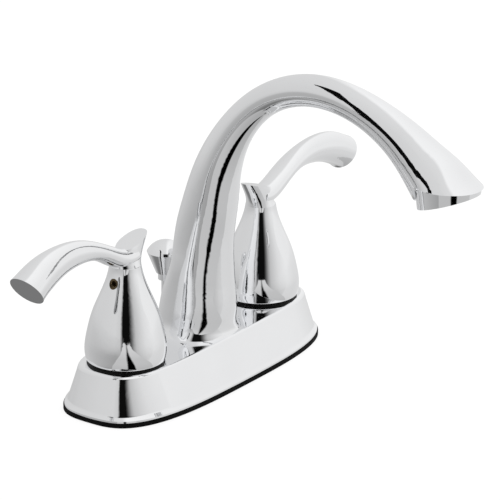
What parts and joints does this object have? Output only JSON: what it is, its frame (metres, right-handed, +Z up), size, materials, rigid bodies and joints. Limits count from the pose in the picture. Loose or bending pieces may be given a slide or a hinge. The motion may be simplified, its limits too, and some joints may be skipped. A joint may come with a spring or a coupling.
{
  "type": "bathroom sink tap",
  "caption": "Two-handle bathroom tap on a long oval deck plate, with lever handles, a high arched spout and a lift rod behind it for the waste.",
  "frame": {"origin": "On the deck surface under the gasket, midway between the two inlet shanks.", "axes": "+X runs along the plate to the right handle, -Y points to the front over the basin, +Z is up."},
  "size_m": [0.2446, 0.1757, 0.2545],
  "materials": {
    "chrome": "polished chrome plate",
    "brass": "machined brass, bare",
    "black_rubber": "matt black rubber",
    "black_plastic": "satin black plastic",
    "white_ceramic": "ground white ceramic",
    "white_plastic": "moulded off-white plastic",
    "steel": "plain stainless steel"
  },
  "bodies": {
    "base": {"deck_plate": "chrome", "base_gasket": "black_rubber", "waterway_body": "brass", "spout": "chrome", "spout_ring_lower": "black_rubber", "spout_ring_upper": "black_rubber", "aerator_housing": "chrome", "aerator_insert": "white_plastic", "aerator_screen": "steel", "aerator_washer": "black_rubber", "left_glide_ring": "black_plastic", "left_valve_seal": "black_rubber", "left_fixed_disc": "white_ceramic", "left_cartridge_body": "brass", "left_plate_nut": "brass", "left_bonnet_nut": "brass", "left_spout_screw": "steel", "left_mounting_washer": "white_plastic", "left_mounting_nut": "white_plastic", "right_glide_ring": "black_plastic", "right_valve_seal": "black_rubber", "right_fixed_disc": "white_ceramic", "right_cartridge_body": "brass", "right_plate_nut": "brass", "right_bonnet_nut": "brass", "right_spout_screw": "steel", "right_mounting_washer": "white_plastic", "right_mounting_nut": "white_plastic"},
    "left_turning": {"left_handle": "chrome", "left_set_screw": "brass", "left_valve_stem": "brass", "left_stem_ring": "black_rubber", "left_moving_disc": "white_ceramic"},
    "right_turning": {"right_handle": "chrome", "right_set_screw": "brass", "right_valve_stem": "brass", "right_stem_ring": "black_rubber", "right_moving_disc": "white_ceramic"},
    "lift": {"lift_rod": "chrome", "lift_knob": "chrome"}
  },
  "joints": [
    {"name": "left_handle_turn", "type": "hinge", "parent": "base", "child": "left_turning", "pos_m": [-0.0508, 0, 0.03], "axis": [0, 0, 1], "range_deg": [0, 90]},
    {"name": "right_handle_turn", "type": "hinge", "parent": "base", "child": "right_turning", "pos_m": [0.0508, 0, 0.03], "axis": [0, 0, 1], "range_deg": [-90, 0]},
    {"name": "lift_rod_slide", "type": "slide", "parent": "base", "child": "lift", "axis": [0, 0, 1], "range_m": [0, 0.02]}
  ]
}
